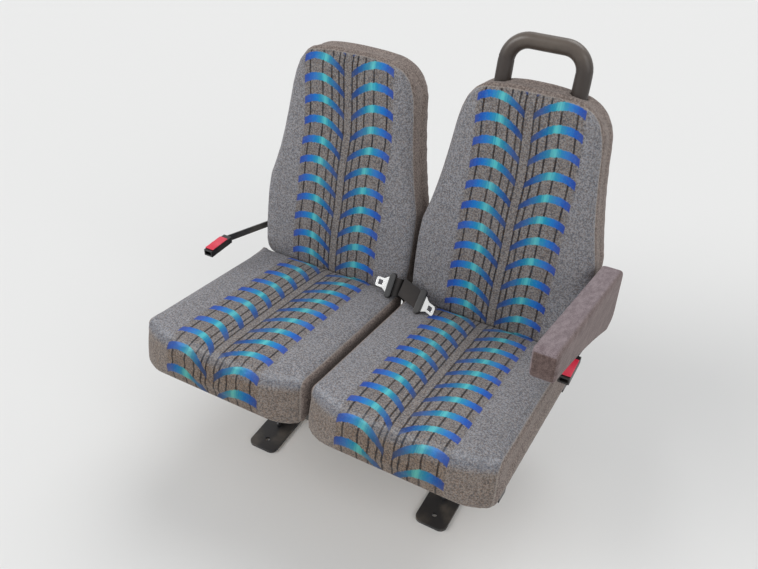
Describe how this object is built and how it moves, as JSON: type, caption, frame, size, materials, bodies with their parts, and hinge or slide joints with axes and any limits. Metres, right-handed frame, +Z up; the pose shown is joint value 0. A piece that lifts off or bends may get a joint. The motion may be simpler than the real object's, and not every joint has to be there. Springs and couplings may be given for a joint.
{
  "type": "double passenger seat of a minibus",
  "caption": "Upholstered double passenger seat on two floor pedestals, with lap belts, a grab handle and an aisle armrest that folds up.",
  "frame": {"origin": "on the floor, in the middle of the floor bolt pattern", "axes": "+X towards the aisle side with the armrest, +Y to the rear (the seat faces -Y), +Z up"},
  "size_m": [1.001, 0.7556, 1.0566],
  "materials": {
    "seat_fabric": "matte",
    "belt_webbing": "matte",
    "plywood": "matte",
    "panel_plastic": "satin",
    "frame_paint": "satin",
    "plated_steel": "satin",
    "tongue_chrome": "polished",
    "black_plastic": "satin",
    "button_red": "satin",
    "handle_brown": "satin"
  },
  "bodies": {
    "frame": {"armrest_pivot": "plated_steel", "back_panel_aisle": "panel_plastic", "back_panel_window": "panel_plastic", "backrest_aisle": "seat_fabric", "backrest_window": "seat_fabric", "belt_reel_aisle": "black_plastic", "belt_reel_window": "black_plastic", "buckle_aisle": "black_plastic", "buckle_bolt_aisle": "plated_steel", "buckle_bolt_window": "plated_steel", "buckle_button_aisle": "button_red", "buckle_button_window": "button_red", "buckle_strap_aisle": "frame_paint", "buckle_strap_window": "frame_paint", "buckle_window": "black_plastic", "cross_rail_aisle": "frame_paint", "cross_rail_middle": "frame_paint", "cross_rail_window": "frame_paint", "cushion_aisle": "seat_fabric", "cushion_board_aisle": "plywood", "cushion_board_window": "plywood", "cushion_window": "seat_fabric", "foot_plate_aisle": "frame_paint", "foot_plate_window": "frame_paint", "front_rail": "frame_paint", "grab_handle": "handle_brown", "handle_screws": "plated_steel", "pedestal_brace": "frame_paint", "pedestal_gussets_aisle": "frame_paint", "pedestal_gussets_window": "frame_paint", "pedestal_post_aisle": "frame_paint", "pedestal_post_window": "frame_paint", "rail_end_caps": "black_plastic", "rear_rail": "frame_paint", "reel_bracket_aisle": "frame_paint", "reel_bracket_window": "frame_paint", "tongue_blade_aisle": "tongue_chrome", "tongue_blade_window": "tongue_chrome", "tongue_grip_aisle": "black_plastic", "tongue_grip_window": "black_plastic", "upright_aisle_left": "frame_paint", "upright_aisle_right": "frame_paint", "upright_window_left": "frame_paint", "upright_window_right": "frame_paint", "webbing_aisle": "belt_webbing", "webbing_window": "belt_webbing"},
    "armrest": {"armrest_hub": "black_plastic", "armrest_pad": "seat_fabric"}
  },
  "joints": [
    {"name": "armrest_fold", "type": "hinge", "parent": "frame", "child": "armrest", "pos_m": [0.4765, 0.202, 0.535], "axis": [-1, 0, 0], "range_deg": [0, 86]}
  ]
}
